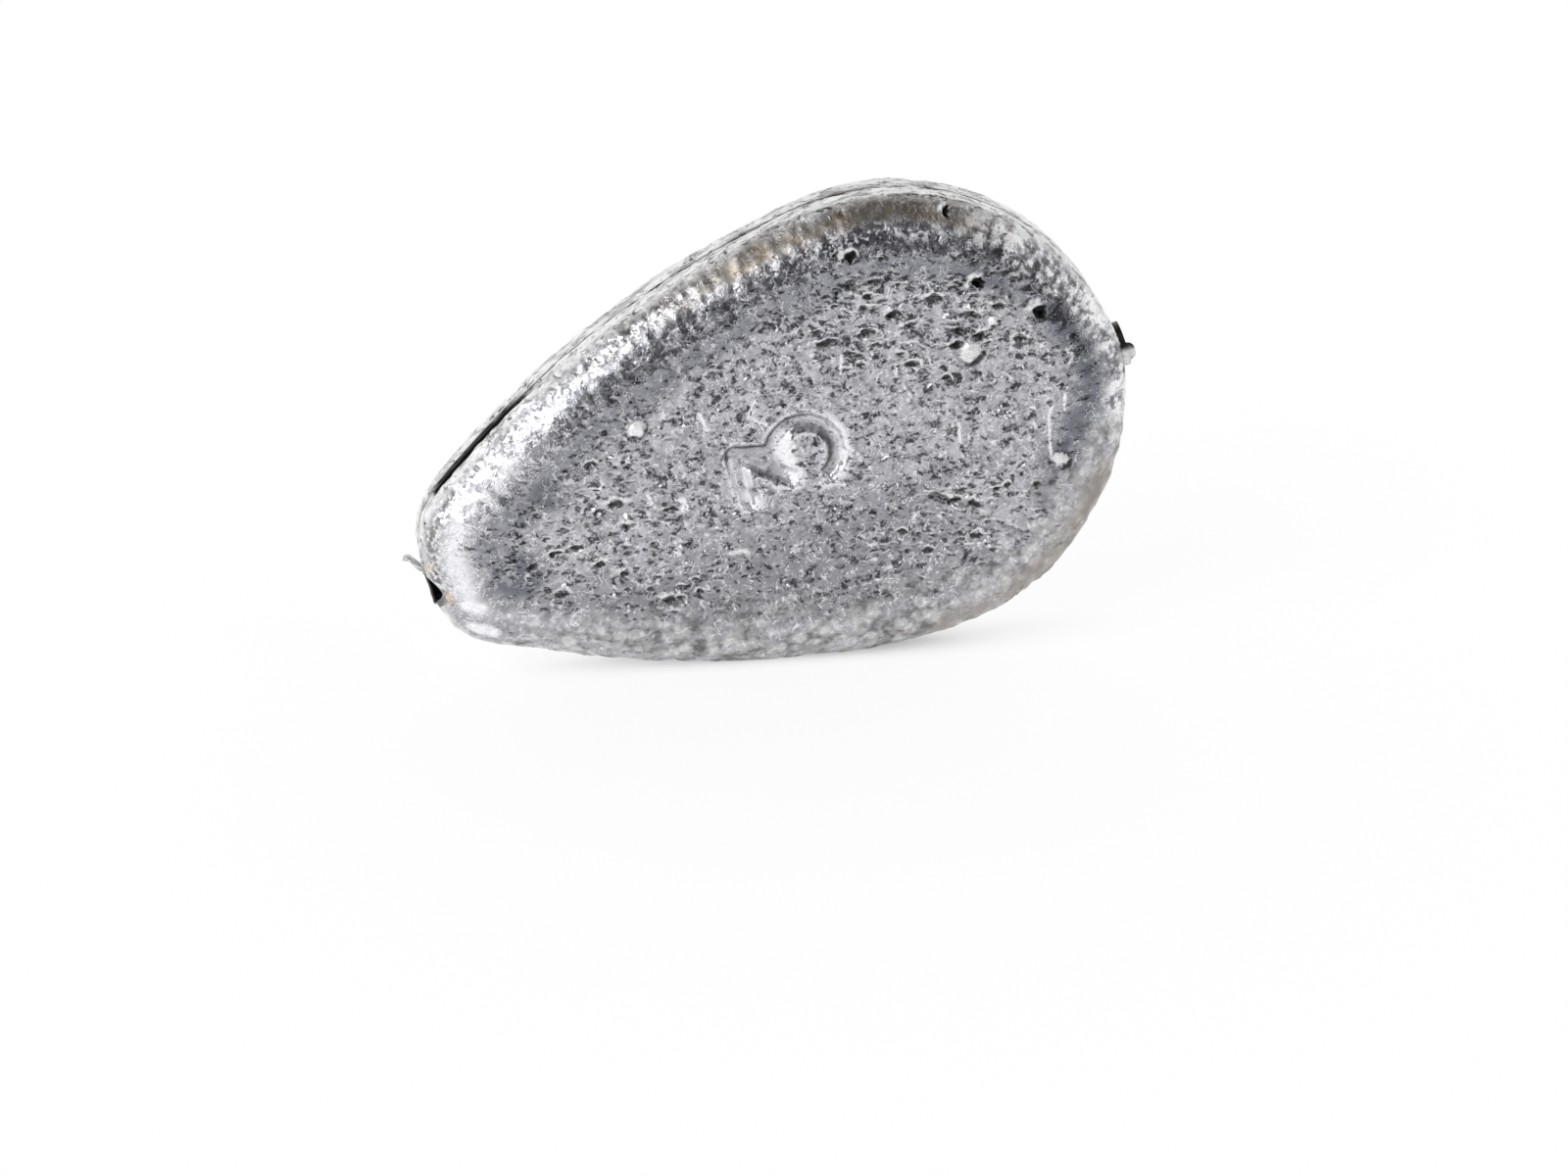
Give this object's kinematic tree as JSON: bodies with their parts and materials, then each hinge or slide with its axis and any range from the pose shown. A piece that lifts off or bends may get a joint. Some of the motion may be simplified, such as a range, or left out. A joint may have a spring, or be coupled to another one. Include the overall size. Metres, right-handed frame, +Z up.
{
  "type": "fishing sinker",
  "caption": "Flat egg-shaped cast lead slip sinker with a thin steel tube through its length for the fishing line.",
  "frame": {"origin": "middle of the line bore, on its axis", "axes": "+Z up while the sinker stands on its rim, front face towards -Y, bore rising from the tail at -X to the nose at +X"},
  "size_m": [0.0492, 0.0074, 0.0325],
  "materials": {
    "lead": "satin",
    "tube": "satin"
  },
  "bodies": {
    "root": {"lead_body": "lead", "line_tube": "tube"}
  },
  "joints": []
}
